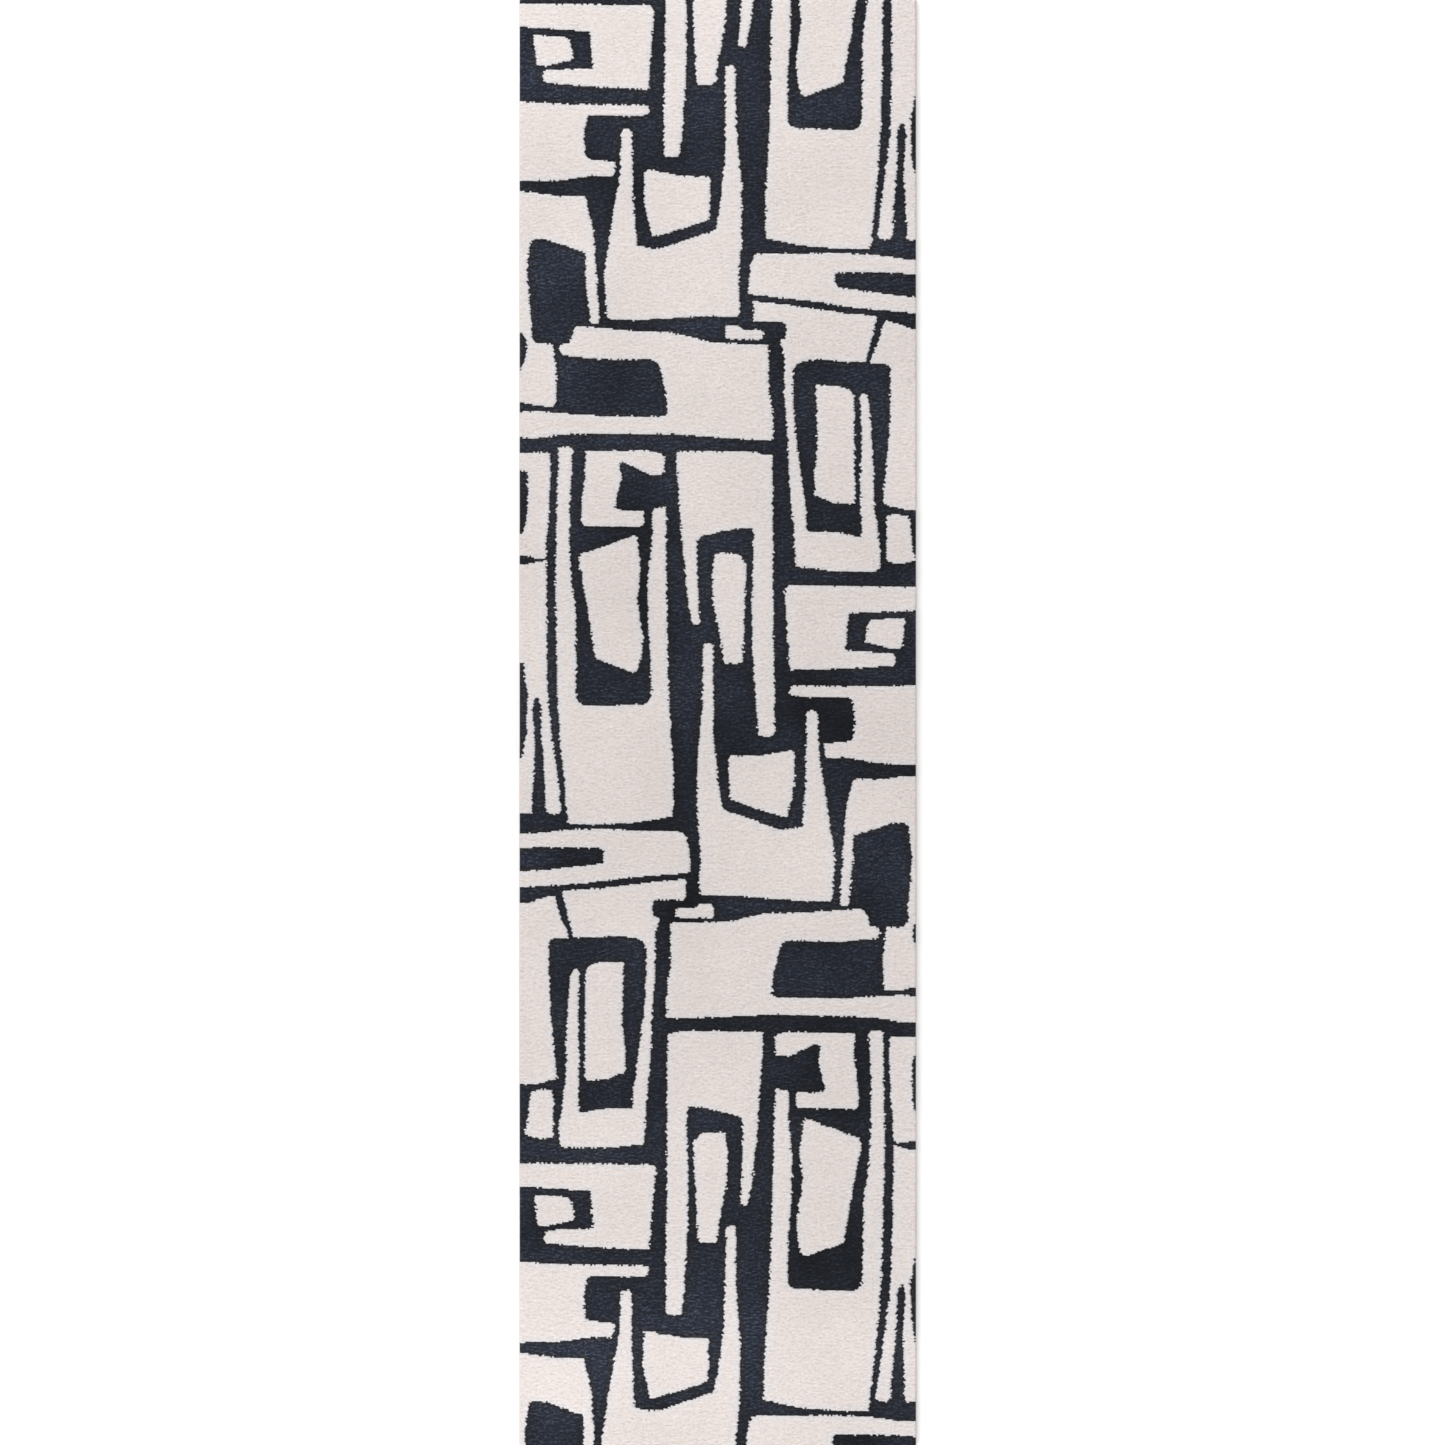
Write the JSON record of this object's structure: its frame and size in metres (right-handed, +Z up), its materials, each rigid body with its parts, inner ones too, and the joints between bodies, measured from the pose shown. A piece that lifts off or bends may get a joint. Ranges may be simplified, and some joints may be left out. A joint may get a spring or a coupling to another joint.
{
  "type": "runner rug",
  "caption": "Long narrow low-pile runner rug with an abstract navy block pattern on cream, overlocked long sides and taped ends, lying flat.",
  "frame": {"origin": "middle of the underside, on the floor plane", "axes": "+Y along the rug's length, towards the end drawn at the top; +X across its width; +Z up through the pile"},
  "size_m": [0.66, 2.4, 0.0125],
  "materials": {
    "cream_pile_yarn": "matt cut pile",
    "navy_pile_yarn": "matt cut pile",
    "ground_yarn": "coarse plain weave, jute coloured",
    "latex_coat": "thin matt latex wash",
    "cotton_cord": "matt twisted cord",
    "overlock_yarn": "soft wound yarn",
    "hem_tape": "flat woven tape",
    "hem_thread": "twisted sewing thread"
  },
  "bodies": {
    "root": {"latex_back_coat": "latex_coat", "ground_weave": "ground_yarn", "navy_pile_field": "navy_pile_yarn", "navy_pile_islands": "navy_pile_yarn", "cream_pile": "cream_pile_yarn", "left_selvedge_cord": "cotton_cord", "right_selvedge_cord": "cotton_cord", "left_overlock": "overlock_yarn", "right_overlock": "overlock_yarn", "top_end_tape": "hem_tape", "bottom_end_tape": "hem_tape", "top_end_stitching": "hem_thread", "bottom_end_stitching": "hem_thread"}
  },
  "joints": []
}
